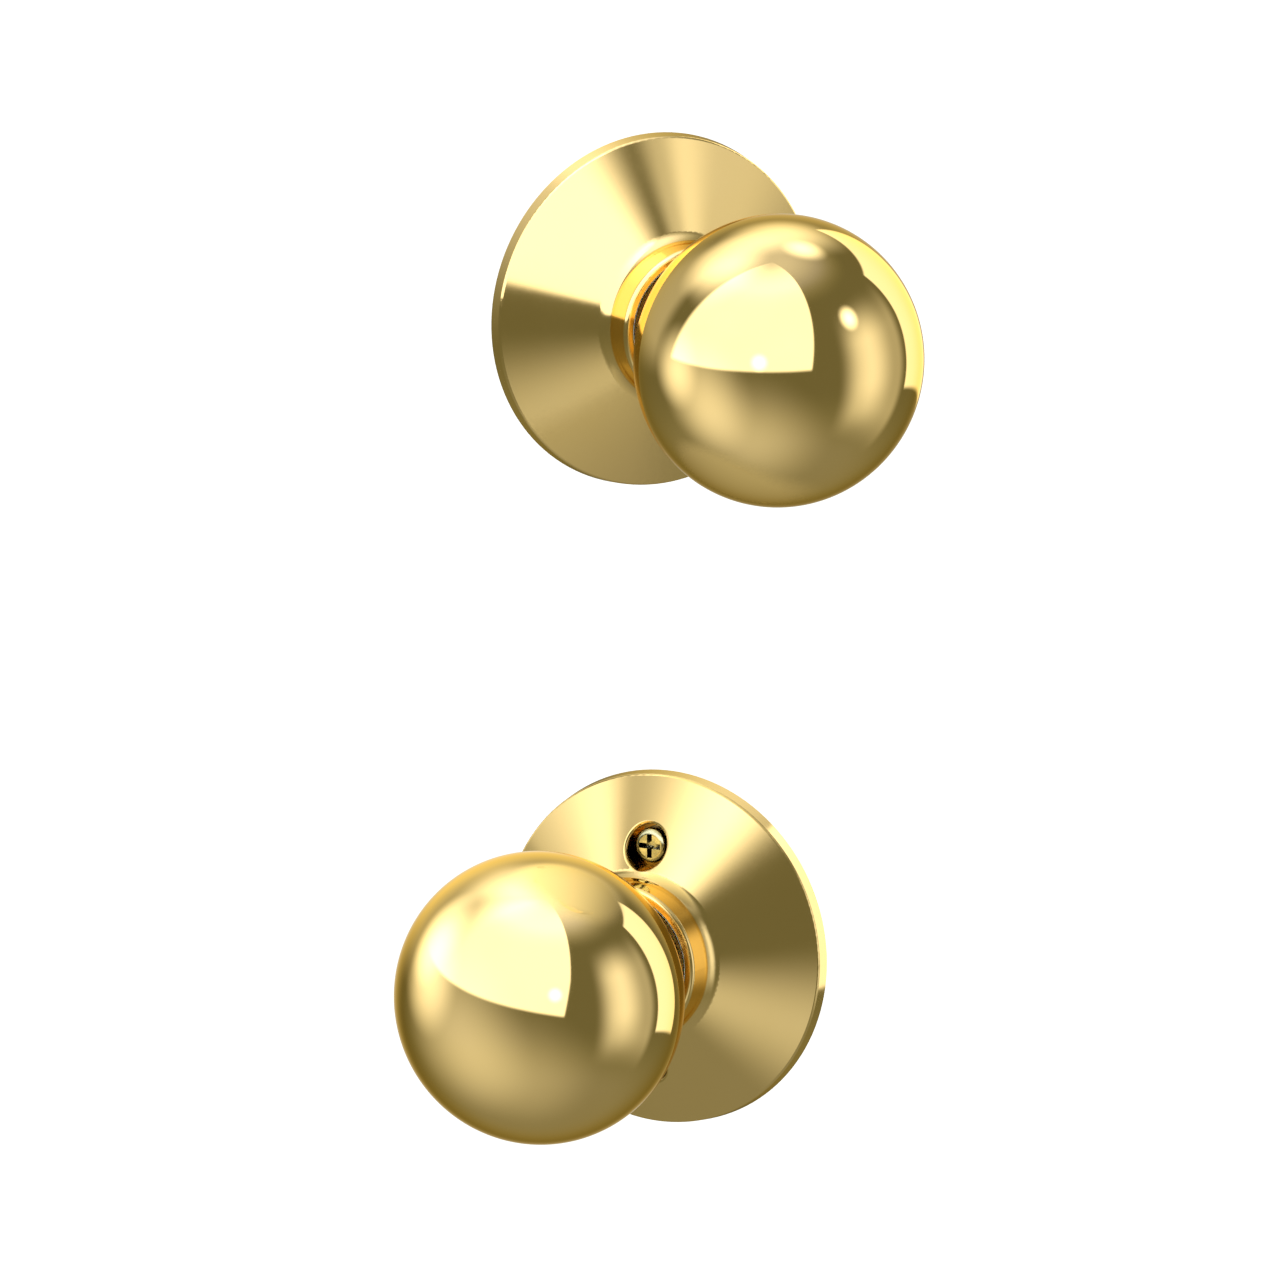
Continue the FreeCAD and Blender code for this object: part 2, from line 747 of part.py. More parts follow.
def make_knob_core(label):
    """The cast core that fills the neck and spreads out to the ball's wall."""
    body = new_body(label)
    inner = "Sizes.shank_radius + Sizes.close_gap"
    outer = "Sizes.neck_radius - Sizes.sheet - Sizes.close_gap"
    turned(body, "Revolution", [
        (inner, dim("neck_back")),
        (outer, dim("neck_back")),
        (outer, dim("core_waist")),
        (dim("core_shoulder"), dim("core_shoulder_height")),
        (dim("core_disc"), dim("core_disc_back")),
        (dim("core_disc"), dim("shank_front")),
        (inner, dim("shank_front")),
    ])
    cross_hole(body, dim("pin_height"), "Sizes.pin_radius + Sizes.close_gap")
    return body


def make_shank(label, with_spindle_hole):
    """The steel tube: a square socket behind, a round bore in front, flats for the driver."""
    body = new_body(label)
    tube = circles(body, "XY_Plane", [("0", "0", dim("shank_radius"))], dim("shank_back"))
    pad(body, tube, "Sizes.shank_front - Sizes.shank_back")
    half = "Sizes.socket_width / 2"
    square = outline(body, "XY_Plane", rectangle("-" + half, "-" + half, half, half), dim("shank_back"))
    pocket(body, square, "Sizes.socket_end - Sizes.shank_back")
    bore = circles(body, "XY_Plane", [("0", "0", dim("shank_bore"))], dim("socket_end"))
    pocket(body, bore, "Sizes.shank_front - Sizes.socket_end")
    flats = new_sketch(body, "XY_Plane", dim("shank_back"))
    past = "Sizes.shank_radius + Sizes.overcut"
    for side in LEFT_AND_RIGHT:
        near = "%d * Sizes.flat_offset" % side
        far = "%d * (%s)" % (side, past)
        draw_outline(flats, rectangle(near, "-(%s)" % past, far, past))
    pocket(body, flats, "Sizes.flat_end - Sizes.shank_back")
    groove = rectangle(dim("groove_radius"), dim("groove_back"), past, dim("groove_front"))
    turned(body, "Groove", groove)
    cross_hole(body, dim("pin_height"), "Sizes.pin_radius + Sizes.close_gap")
    if with_spindle_hole:
        cross_hole(body, dim("spindle_pin_height"), "Sizes.spindle_pin_radius + Sizes.close_gap")
    return body


def cross_pin(label, radius, height, half_length):
    """A pin through the shank from side to side."""
    body = new_body(label)
    section = circles(body, "YZ_Plane", [("0", height, radius)], "-(%s)" % half_length)
    pad(body, section, "2 * %s" % half_length)
    return body


def make_driver(label):
    """The cam on the shank's flats, with an arm and a finger that pushes the spring's legs."""
    body = new_body(label)
    thickness = "Sizes.driver_front - Sizes.driver_back"
    disc = circles(body, "XY_Plane", [("0", "0", dim("driver_radius"))], dim("driver_back"))
    pad(body, disc, thickness)
    half = "Sizes.lug_width / 2"
    arm = rectangle("-" + half, "-Sizes.driver_reach", half, "-Sizes.driver_radius + Sizes.overcut")
    pad(body, outline(body, "XY_Plane", arm, dim("driver_back")), thickness)
    finger = rectangle("-" + half, "-Sizes.driver_reach", half, "-Sizes.finger_near")
    finger_sketch = outline(body, "XY_Plane", finger, dim("driver_back"))
    pad(body, finger_sketch, "Sizes.finger_top - Sizes.driver_back")
    bore = feature(body, "Pocket", double_flat_outline(body))
    bore.setExpression("Length", thickness)
    bore.Reversed = True
    return body


def double_flat_outline(body):
    """The driver's bore: a circle with its two sides cut flat, to sit on the shank's flats."""
    sketch = new_sketch(body, "XY_Plane", dim("driver_back"))
    radius = size("shank_radius") + size("close_gap")
    flat = size("flat_offset") + size("close_gap")
    half_angle = math.acos(flat / radius)
    middle = FreeCAD.Vector(0, 0, 0)
    circle = Part.Circle(middle, FreeCAD.Vector(0, 0, 1), radius)
    top = Part.ArcOfCircle(circle, half_angle, math.pi - half_angle)
    bottom = Part.ArcOfCircle(circle, math.pi + half_angle, 2 * math.pi - half_angle)
    left = Part.LineSegment(top.EndPoint, bottom.StartPoint)
    right = Part.LineSegment(bottom.EndPoint, top.StartPoint)
    for piece in (top, left, bottom, right):
        sketch.addGeometry(piece, False)
    for first, second in ((0, 1), (1, 2), (2, 3), (3, 0)):
        sketch.addConstraint(Sketcher.Constraint("Coincident", first, 2, second, 1))
    for arc in (0, 2):
        sketch.addConstraint(Sketcher.Constraint("Coincident", arc, 3, -1, 1))
    rule = sketch.addConstraint(Sketcher.Constraint("Radius", 0, radius))
    sketch.setExpression("Constraints[%d]" % rule, "Sizes.shank_radius + Sizes.close_gap")
    for line, side in ((1, -1), (3, 1)):
        sketch.addConstraint(Sketcher.Constraint("Vertical", line))
        rule = sketch.addConstraint(Sketcher.Constraint("DistanceX", -1, 1, line, 1, side * flat))
        text = "%d * (Sizes.flat_offset + Sizes.close_gap)" % side
        sketch.setExpression("Constraints[%d]" % rule, text)
    return sketch


def make_wave_washer(label):
    """A spring washer that takes up the knob's end play: a flat strip bent into waves."""
    middle = (size("wave_inner") + size("wave_outer")) / 2
    half_width = (size("wave_outer") - size("wave_inner")) / 2
    half_sheet = size("wave_sheet") / 2
    count = WAVES * POINTS_PER_WAVE
    points = []
    for step in range(count):
        angle = 2 * math.pi * step / count
        lift = size("wave_height") * math.cos(WAVES * angle)
        points.append(FreeCAD.Vector(middle * math.cos(angle), middle * math.sin(angle), lift))
    path = Part.BSplineCurve()
    path.interpolate(Points=points, PeriodicFlag=True)
    crest = points[0]
    corners = [
        crest + FreeCAD.Vector(side * half_width, 0, level * half_sheet)
        for side, level in ((-1, -1), (1, -1), (1, 1), (-1, 1))
    ]
    section = Part.makePolygon(corners + corners[:1])
    pipe = Part.BRepOffsetAPI.MakePipeShell(Part.Wire(path.toShape()))
    pipe.setBiNormalMode(FreeCAD.Vector(0, 0, 1))
    pipe.add(section)
    pipe.build()
    pipe.makeSolid()
    washer = doc.addObject("Part::Feature", label)
    washer.Label = label
    washer.Shape = pipe.shape()
    washer.Placement.Base = FreeCAD.Vector(0, 0, size("wave_middle"))
    return washer


def make_retaining_ring(label):
    """The open ring that snaps into the shank's groove behind the plate."""
    body = new_body(label)
    back = "Sizes.groove_back + Sizes.ring_play"
    length = "Sizes.groove_front - Sizes.groove_back - 2 * Sizes.ring_play"
    pad(body, circles(body, "XY_Plane", [("0", "0", dim("ring_radius"))], back), length)
    hole = circles(body, "XY_Plane", [("0", "0", "Sizes.groove_radius + Sizes.close_gap")], back)
    pocket(body, hole, length)
    half = "Sizes.ring_gap / 2"
    slot = rectangle("-" + half, "-Sizes.ring_radius - Sizes.overcut", half, "0")
    pocket(body, outline(body, "XY_Plane", slot, back), length)
    return body


def make_spindle(label):
    """The square bar that joins the two knobs through the latch."""
    body = new_body(label)
    half = "Sizes.spindle_width / 2"
    square = outline(body, "XY_Plane", rectangle("-" + half, "-" + half, half, half), dim("spindle_end"))
    pad(body, square, "Sizes.spindle_front - Sizes.spindle_end")
    doc.recompute()
    bar = body.Tip
    ends = [
        "Edge%d" % number
        for number, edge in enumerate(bar.Shape.Edges, start=1)
        if edge.BoundBox.ZMax < size("spindle_end") + SAME
    ]
    point = body.newObject("PartDesign::Chamfer", "Chamfer")
    point.Base = (bar, ends)
    point.setExpression("Size", dim("spindle_chamfer"))
    cross_hole(body, dim("spindle_pin_height"), "Sizes.spindle_pin_radius + Sizes.close_gap")
    return body


# ---------------------------------------------------------------- the two halves

UPRIGHT = FreeCAD.Rotation(FreeCAD.Vector(1, 0, 0), 90)
TURNED = FreeCAD.Rotation(FreeCAD.Vector(0, 0, 1), size("outside_turn"))
INSIDE = FreeCAD.Placement(FreeCAD.Vector(0, 0, 0), UPRIGHT)
OUTSIDE = FreeCAD.Placement(
    FreeCAD.Vector(size("outside_x"), size("outside_y"), size("outside_z")),
    TURNED.multiply(UPRIGHT),
)


def place(half, piece):
    """Puts one finished piece where its half stands, and lists it as a node."""
    doc.recompute()
    piece.Placement = half.multiply(piece.Placement)
    nodes.append(piece)


def build_half(half, prefix, is_inside):
    """The pieces that both halves have."""
    place(half, make_rose(prefix + "_rose", with_cups=is_inside))
    place(half, make_bushing(prefix + "_collar_bushing"))
    place(half, make_mounting_plate(prefix + "_mounting_plate", with_bosses=is_inside))
    place(half, make_spring_cage(prefix + "_spring_cage"))
    place(half, make_cage_rivets(prefix + "_cage_rivets"))
    place(half, make_return_spring(prefix + "_return_spring"))
    place(half, make_thrust_washer(prefix + "_thrust_washer"))
    place(half, make_knob_shell(prefix + "_knob_shell"))
    place(half, make_knob_neck(prefix + "_knob_neck"))
    place(half, make_knob_core(prefix + "_knob_core"))
    place(half, make_shank(prefix + "_shank", with_spindle_hole=not is_inside))
    pin = (dim("pin_radius"), dim("pin_height"), dim("pin_half_length"))
    place(half, cross_pin(prefix + "_core_pin", *pin))
    place(half, make_driver(prefix + "_driver"))
    place(half, make_wave_washer(prefix + "_wave_washer"))
    place(half, make_retaining_ring(prefix + "_retaining_ring"))


build_half(INSIDE, "inside", is_inside=True)
place(INSIDE, make_mounting_screws("mounting_screws"))
build_half(OUTSIDE, "outside", is_inside=False)
place(OUTSIDE, make_mounting_posts("mounting_posts"))
place(OUTSIDE, make_spindle("spindle"))
PIN = (dim("spindle_pin_radius"), dim("spindle_pin_height"), dim("spindle_pin_half_length"))
place(OUTSIDE, cross_pin("spindle_pin", *PIN))
doc.recompute()

# ---------------------------------------------------------------- checks and files

for item in doc.Objects:
    if "Invalid" in item.State or "Error" in item.State:
        raise RuntimeError("%s (%s) failed: %s" % (item.Label, item.TypeId, item.State))
for node in nodes:
    if node.Shape.isNull() or not node.Shape.isValid() or not node.Shape.Solids:
        raise RuntimeError("%s has no valid solid" % node.Label)

os.makedirs("parts", exist_ok=True)
for node in nodes:
    node.Shape.exportStep("parts/%s.step" % node.Label)
    box = node.Shape.BoundBox
    print("%-26s %d solid(s) %10.1f mm3  z %7.2f to %7.2f" % (
        node.Label, len(node.Shape.Solids), node.Shape.Volume, box.ZMin, box.ZMax))
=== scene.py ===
import math

import bmesh
import bpy
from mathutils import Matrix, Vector


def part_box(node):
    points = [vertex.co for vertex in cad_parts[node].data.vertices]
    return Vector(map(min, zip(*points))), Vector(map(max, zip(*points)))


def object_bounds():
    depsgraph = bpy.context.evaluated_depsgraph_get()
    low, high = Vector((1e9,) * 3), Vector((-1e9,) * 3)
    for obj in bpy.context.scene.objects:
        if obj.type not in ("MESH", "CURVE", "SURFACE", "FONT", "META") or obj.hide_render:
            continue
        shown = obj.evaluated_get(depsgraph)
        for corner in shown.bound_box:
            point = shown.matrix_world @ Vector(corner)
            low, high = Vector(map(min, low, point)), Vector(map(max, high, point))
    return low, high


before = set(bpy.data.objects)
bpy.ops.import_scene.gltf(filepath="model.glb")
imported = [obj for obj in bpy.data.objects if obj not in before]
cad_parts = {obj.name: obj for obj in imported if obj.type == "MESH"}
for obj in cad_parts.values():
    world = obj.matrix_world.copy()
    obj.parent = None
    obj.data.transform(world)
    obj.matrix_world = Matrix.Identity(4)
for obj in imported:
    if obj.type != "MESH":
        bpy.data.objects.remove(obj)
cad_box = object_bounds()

# The looks of a passage knob set in polished brass, in metres: materials, studio light, floor, camera.

# ------------------------------------------------------------------ camera and floor

AZIMUTH = 27.3  # degrees: 0 looks along +Y, and a larger angle moves the camera towards +X
ELEVATION = 12.2
VIEW_WIDTH = 0.2344
AIM_RIGHT = -0.0051  # where the view's middle passes the origin, along the view's own right and up
AIM_UP = 0.0559
FLOOR_DROP = 0.22  # the floor lies this far below the lowest point, clear of both halves
FLOOR_SIZE = 14.0
CAMERA_DISTANCE = 1.6

# The set's own measures: where each half stands and which way its knob points, its ball and its cone.
TURN = math.radians(54.6)
HALVES = {
    "inside": (Vector((0, 0, 0)), Vector((0, -1, 0))),
    "outside": (Vector((-0.00284, -0.00147, 0.1194)), Vector((math.sin(TURN), -math.cos(TURN), 0))),
}
BALL_MIDDLE = 0.0513  # along the axis from the rose's back
SIDE_RING = 0.0028  # radius of the ring that the ball's side arc turns about
CROWN_DROP = 0.00342  # from the ball's middle back to the middle of each crown's arc
CONE_RISE = 0.512  # along the axis, for each metre of radius
SCREW_OFFSET = 0.02  # each screw stands this far above or below the knob's axis


def direction_to(azimuth, elevation):
    """The direction from the object to something at this azimuth and elevation, in degrees."""
    a, e = math.radians(azimuth), math.radians(elevation)
    return Vector((math.sin(a) * math.cos(e), -math.cos(a) * math.cos(e), math.sin(e)))


def view_axes(azimuth, elevation):
    """The view's right and up, and the direction from the object to the camera."""
    towards = direction_to(azimuth, elevation)
    right = direction_to(azimuth + 90, 0)
    return right, towards.cross(right), towards


def add_object(name, data):
    made = bpy.data.objects.new(name, data)
    bpy.context.scene.collection.objects.link(made)
    return made


def make_camera():
    right, up, towards = view_axes(AZIMUTH, ELEVATION)
    data = bpy.data.cameras.new("camera")
    data.type = "ORTHO"
    data.ortho_scale = VIEW_WIDTH
    camera = add_object("camera", data)
    camera.location = right * AIM_RIGHT + up * AIM_UP + towards * CAMERA_DISTANCE
    camera.rotation_euler = towards.to_track_quat("Z", "Y").to_euler()
    bpy.context.scene.camera = camera


# ------------------------------------------------------------------ node helpers


class Graph:
    """Adds nodes to one node tree and links them, taking plain numbers or sockets as inputs."""

    def __init__(self, tree):
        self.tree = tree

    def add(self, kind, inputs=(), **settings):
        node = self.tree.nodes.new(kind)
        for name, setting in settings.items():
            setattr(node, name, setting)
        for key, item in dict(inputs).items():
            if isinstance(item, bpy.types.NodeSocket):
                self.tree.links.new(item, node.inputs[key])
            else:
                node.inputs[key].default_value = item
        return node

    def math(self, operation, first, second=0.0):
        return self.add("ShaderNodeMath", {0: first, 1: second}, operation=operation).outputs[0]

    def ramp(self, item, low, high, start=0.0, end=1.0):
        """A smooth step: start below low, end above high."""
        inputs = {0: item, 1: low, 2: high, 3: start, 4: end}
        return self.add("ShaderNodeMapRange", inputs, interpolation_type="SMOOTHSTEP").outputs[0]

    def vector(self, operation, first, second=(0.0, 0.0, 0.0)):
        """Vector arithmetic: a plain number for a dot product or a length, otherwise a vector."""
        node = self.add("ShaderNodeVectorMath", {0: first, 1: second}, operation=operation)
        return node.outputs["Value" if operation in ("DOT_PRODUCT", "LENGTH") else "Vector"]

    def scaled(self, item, factor):
        inputs = {"Vector": item, "Scale": factor}
        return self.add("ShaderNodeVectorMath", inputs, operation="SCALE").outputs["Vector"]

    def mix(self, share, first, second):
        """A mix of two colours."""
        node = self.add("ShaderNodeMix", {0: share, 6: first, 7: second}, data_type="RGBA")
        return node.outputs[2]


def grey(level):
    return (level, level, level, 1.0)


# ------------------------------------------------------------------ studio light

# All azimuths here count to the right from the camera, in degrees.
# A panel of light: its left, right, bottom and top edges, the soft border inside each of them, how
# far its sides lean and its bottom slopes, and its strength.
SOFTBOX_LEFT = ((-124, 13, -7.5, 98), (40, 2, 3, 44), (0.22, -0.16), 1.6)
SOFTBOX_RIGHT = ((-93, 31, 3, 96), (6, 2, 3, 34), (0.2, 0.0), 1.6)
SOFTBOX_WIDE = ((-93, 50, 3, 96), (6, 24, 3, 26), (0.0, 0.0), 1.7)
SOFTBOX_ROW = [
    ((-108, -12, 2, 84), (24, 10, 4, 20), (0.0, 0.0), 0.45),
    ((-108, -72, 2, 84), (24, 12, 4, 20), (0.0, 0.0), 1.0),
    ((-72, -9, 4, 84), (44, 22, 4, 20), (0.0, 0.0), 1.5),
]
SIDE_PANELS = [
    ((34, 101, -46, 38), (20, 10, 24, 24), (0.0, 0.0), 0.34),
    ((36, 88, -38, 42), (28, 26, 32, 28), (0.0, 0.0), 0.64),
    ((-180, -114, -10, 66), (24, 18, 18, 26), (0.0, 0.0), 0.32),
]
SIDE_TURN = 16.0  # the outside ball sees the side panels this far round to the right
LEFT_CRESCENT = ((102, 133, -24, 38), (2, 2, 2, 2), (0.0, 0.0), 1.25)
RIGHT_CRESCENT = ((117, 164, -15, 38), (2, 2, 2, 2), (0.0, 0.0), 1.25)
WIDE_PANELS = [
    ((50, 116, -40, 46), (10, 24, 18, 10), (0.0, 0.0), 0.62),
    ((62, 84, 8, 52), (9, 12, 12, 12), (0.0, 0.0), 0.32),
    ((117, 166, -20, 40), (2, 2, 2, 2), (0.0, 0.0), 1.25),
    ((-180, -130, -10, 66), (24, 18, 18, 26), (0.0, 0.0), 0.4),
]
# A round lamp or glow: its azimuth and elevation, its radius and its strength.
LEFT_BALL_LAMPS = [
    (4, 8, 7, 2.4),
    (-111, 21, 28, 1.9),
    (-136, 64, 42, 1.3),
    (156, 55, 32, 1.3),
    (180, 4, 50, 0.9),
    (0, 90, 50, 0.6),
    (-100, 4, 32, 1.1),
    (-72, -20, 58, 0.5),
    (-30, -46, 56, 0.24),
]
RIGHT_BALL_LAMPS = [
    (-7, 11, 8, 2.6),
    (70, 31, 9, 2.8),
    (137, 67, 13, 1.7),
    (-128, 58, 30, 1.2),
    (176, 55, 30, 1.4),
    (180, 4, 44, 0.5),
    (-84, 0, 28, 1.0),
    (-56, -17, 46, 0.7),
    (-95, 62, 28, 0.9),
    (-18, -46, 56, 0.36),
]
LEFT_ROSE_LAMPS = [(-4, -34, 27, 0.45), (0, 90, 60, 1.1), (160, 30, 50, 0.8), (-120, 10, 30, 0.8)]
RIGHT_ROSE_LAMPS = [(8, -40, 31, 0.37), (0, 90, 56, 0.9), (-150, 30, 60, 0.8)]
DARK = 0.165
GROUND = 0.28
CEILING = 0.75
CARD_COLOUR = (1.0, 0.97, 0.75, 1.0)
CARD_GAP = 0.004  # between a card and the rose that it stands over or under


class Sky(Graph):
    """Works out a level of light from a direction, in angles about the camera's azimuth."""

    def __init__(self, tree, direction):
        super().__init__(tree)
        turn = {"Vector": direction, "Axis": (0, 0, 1), "Angle": math.radians(-AZIMUTH)}
        turned = self.add("ShaderNodeVectorRotate", turn).outputs[0]
        self.direction = self.vector("NORMALIZE", turned)
        split = self.add("ShaderNodeSeparateXYZ", {0: self.direction})
        forward = self.math("MULTIPLY", split.outputs[1], -1.0)
        self.azimuth = self.math("DEGREES", self.math("ARCTAN2", split.outputs[0], forward))
        self.elevation = self.math("DEGREES", self.math("ARCSINE", split.outputs[2]))

    def panel(self, edges, soft, slant, strength, turn=0.0):
        """A panel of light, as the lists above give it, moved round to the right by the turn."""
        lean = self.math("MULTIPLY", self.elevation, slant[0])
        across = self.math("SUBTRACT", self.azimuth, lean)
        slope = self.math("MULTIPLY", self.azimuth, slant[1])
        along = self.math("SUBTRACT", self.elevation, slope)
        left, right = edges[0] + turn, edges[1] + turn
        share = self.ramp(across, left, left + soft[0])
        share = self.math("MULTIPLY", share, self.ramp(across, right, right - soft[1]))
        share = self.math("MULTIPLY", share, self.ramp(along, edges[2], edges[2] + soft[2]))
        share = self.math(
            "MULTIPLY", share, self.ramp(self.elevation, edges[3], edges[3] - soft[3]))
        return self.math("MULTIPLY", share, strength)

    def lamp(self, azimuth, elevation, radius, strength):
        """A round glow, brightest in its middle and nothing at its radius."""
        facing = self.vector("DOT_PRODUCT", self.direction, direction_to(azimuth, elevation))
        edge = math.cos(math.radians(radius))
        glow = self.add("ShaderNodeMapRange", {0: facing, 1: edge, 2: 1.0})
        return self.math("MULTIPLY", self.math("POWER", glow.outputs[0], 2.0), strength)

    def total(self, levels):
        light = levels[0]
        for level in levels[1:]:
            light = self.math("ADD", light, level)
        return light


def make_world():
    """The studio's own dim walls, ground and ceiling; beyond the floor the camera sees white."""
    world = bpy.data.worlds.new("studio")
    bpy.context.scene.world = world
    world.use_nodes = True
    world.node_tree.nodes.clear()
    place = world.node_tree.nodes.new("ShaderNodeTexCoord").outputs["Generated"]
    sky = Sky(world.node_tree, place)
    levels = [
        sky.ramp(sky.elevation, -12, -60, DARK, GROUND),
        sky.ramp(sky.elevation, 45, 86, 0.0, CEILING - DARK),
    ]
    light = sky.total(levels)
    warmth = sky.mix(sky.ramp(light, 0.15, 0.45), (1.0, 0.97, 0.55, 1.0), grey(1.0))
    rays = sky.add("ShaderNodeLightPath").outputs["Is Camera Ray"]
    colour = sky.mix(rays, warmth, grey(1.0))
    strength = sky.add("ShaderNodeMix", {0: rays, 2: light, 3: 1.0}).outputs[0]
    background = sky.add("ShaderNodeBackground", {"Color": colour, "Strength": strength})
    output = sky.add("ShaderNodeOutputWorld")
    world.node_tree.links.new(background.outputs[0], output.inputs["Surface"])


def add_glowing(name, shape):
    """An unseen object that glows: the object, and its material's empty node tree."""
    mesh = bpy.data.meshes.new(name)
    shape.to_mesh(mesh)
    shape.free()
    glowing = add_object(name, mesh)
    glowing.visible_camera = False
    glowing.visible_shadow = False
    glowing.visible_transmission = False
    material = bpy.data.materials.new(name)
    material.use_nodes = True
    material.cycles.emission_sampling = "NONE"
    material.node_tree.nodes.clear()
    mesh.materials.append(material)
    return glowing, material.node_tree


def make_dome(name, radius, panels, lamps, lit):
    """A sphere round the object that adds panels and lamps to what the named pieces reflect."""
    shell = bmesh.new()
    bmesh.ops.create_icosphere(shell, subdivisions=3, radius=radius)
    dome, tree = add_glowing(name, shell)
    dome.location = (cad_box[0] + cad_box[1]) / 2
    sky = Sky(tree, tree.nodes.new("ShaderNodeTexCoord").outputs["Object"])
    light = sky.total([sky.panel(*panel) for panel in panels] + [sky.lamp(*lamp) for lamp in lamps])
    glow = sky.add("ShaderNodeEmission", {"Strength": light}).outputs[0]
    clear = sky.add("ShaderNodeBsdfTransparent").outputs[0]
    both_shaders = sky.add("ShaderNodeAddShader", {0: glow, 1: clear}).outputs[0]
    tree.links.new(both_shaders, sky.add("ShaderNodeOutputMaterial").inputs["Surface"])
    group = bpy.data.collections.new(name + "_lit")
    for piece in lit:
        group.objects.link(piece)
    dome.light_linking.receiver_collection = group


def make_light():
    """Each large brass piece has its own arrangement of the panels, as in a composed picture."""
    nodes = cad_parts
    left_ball = [nodes["inside_knob_shell"], nodes["inside_knob_neck"]]
    right_ball = [nodes["outside_knob_shell"], nodes["outside_knob_neck"]]
    left_rose = [nodes["inside_rose"]]
    rest = [node for node in nodes.values() if node not in left_ball + right_ball + left_rose]
    turned = [(*panel, SIDE_TURN) for panel in SIDE_PANELS]
    left_panels = [SOFTBOX_LEFT, LEFT_CRESCENT] + SIDE_PANELS
    right_panels = [SOFTBOX_RIGHT, RIGHT_CRESCENT] + turned
    rose_panels = SOFTBOX_ROW + [LEFT_CRESCENT] + SIDE_PANELS
    make_dome("dome_left_ball", 1.0, left_panels, LEFT_BALL_LAMPS, left_ball)
    make_dome("dome_right_ball", 1.1, right_panels, RIGHT_BALL_LAMPS, right_ball)
    make_dome("dome_left_rose", 1.2, rose_panels, LEFT_ROSE_LAMPS, left_rose)
    make_dome("dome_rest", 1.3, [SOFTBOX_WIDE] + WIDE_PANELS, RIGHT_ROSE_LAMPS, rest)


def make_card(name, middle, radius, direction, low, high, faces_up):
    """A round card that hides one half from the other's reflections, seen from one side only.

    It fades out towards its rim, and its level runs from low to high along the direction.
    """
    disc = bmesh.new()
    bmesh.ops.create_circle(disc, cap_ends=True, radius=radius, segments=64)
    card, tree = add_glowing(name, disc)
    card.location = middle
    card.rotation_euler = (0, 0 if faces_up else math.pi, 0)
    card.visible_diffuse = False
    graph = Graph(tree)
    geometry = graph.add("ShaderNodeNewGeometry")
    place = graph.vector("SUBTRACT", geometry.outputs["Position"], middle)
    level = graph.ramp(graph.vector("DOT_PRODUCT", place, direction), -radius, radius, low, high)
    rim = graph.ramp(graph.vector("LENGTH", place), radius * 0.55, radius)
    clear_share = graph.math("MAXIMUM", geometry.outputs["Backfacing"], rim)
    glow = graph.add("ShaderNodeEmission", {"Color": CARD_COLOUR, "Strength": level}).outputs[0]
    clear = graph.add("ShaderNodeBsdfTransparent").outputs[0]
    shader = graph.add("ShaderNodeMixShader", {0: clear_share, 1: glow, 2: clear}).outputs[0]
    tree.links.new(shader, graph.add("ShaderNodeOutputMaterial").inputs["Surface"])


def make_cards():
    """One card over the inside half, seen from above, and one under the outside half."""
    low_ball, low_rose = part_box("inside_knob_shell"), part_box("inside_rose")
    high_ball, high_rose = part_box("outside_knob_shell"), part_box("outside_rose")
    over = (low_ball[0] + low_ball[1] + low_rose[0] + low_rose[1]) / 4
    under = (high_ball[0] + high_ball[1] + high_rose[0] + high_rose[1]) / 4
    over.z = low_rose[1].z + CARD_GAP
    under.z = high_rose[0].z - CARD_GAP
    right, _, towards = view_axes(AZIMUTH, 0.0)
    make_card("card_over_inside", over, 0.066, towards, 0.24, 0.5, True)
    make_card("card_under_outside", under, 0.062, right, 1.6, 0.25, False)


def make_floor():
    """A wide pale floor, out of the object's own reflections."""
    half = FLOOR_SIZE / 2
    low = cad_box[0][2] - FLOOR_DROP
    corners = [(-half, -half, low), (half, -half, low), (half, half, low), (-half, half, low)]
    mesh = bpy.data.meshes.new("floor")
    mesh.from_pydata(corners, [], [(0, 1, 2, 3)])
    floor = add_object("floor", mesh)
    floor.visible_glossy = False
    material = bpy.data.materials.new("pale_floor")
    material.use_nodes = True
    shader = material.node_tree.nodes["Principled BSDF"]
    shader.inputs["Base Color"].default_value = grey(0.9)
    shader.inputs["Roughness"].default_value = 0.9
    shader.inputs["Specular IOR Level"].default_value = 0.0
    shader.inputs["Emission Color"].default_value = grey(1.0)
    shader.inputs["Emission Strength"].default_value = 0.95
    mesh.materials.append(material)


# ------------------------------------------------------------------ materials


def new_material(name):
    material = bpy.data.materials.new(name)
    material.use_nodes = True
    return material, Graph(material.node_tree), material.node_tree.nodes["Principled BSDF"]


def noise(graph, place, scale, detail=3.0):
    inputs = {"Vector": place, "Scale": scale, "Detail": detail, "Roughness": 0.5}
    return graph.add("ShaderNodeTexNoise", inputs).outputs["Fac"]


def object_place(graph):
    return graph.add("ShaderNodeTexCoord").outputs["Object"]


def bump(graph, shader, height, distance):
    node = graph.add("ShaderNodeBump", {"Height": height, "Distance": distance, "Strength": 1.0})
    graph.tree.links.new(node.outputs[0], shader.inputs["Normal"])


def painted_recess_shade(graph, reach, low, high):
    """How open a place is, for painting shade into recesses: 0 deep in a recess, 1 where nothing is within
    the reach.
    """
    shade = graph.add("ShaderNodeAmbientOcclusion", {"Distance": reach}, samples=6)
    return graph.ramp(shade.outputs["AO"], low, high)


NEAR_BY = 6  # degrees: a facet this near to the exact normal takes it in full
FAR_OFF = 9  # and one this far off keeps its own


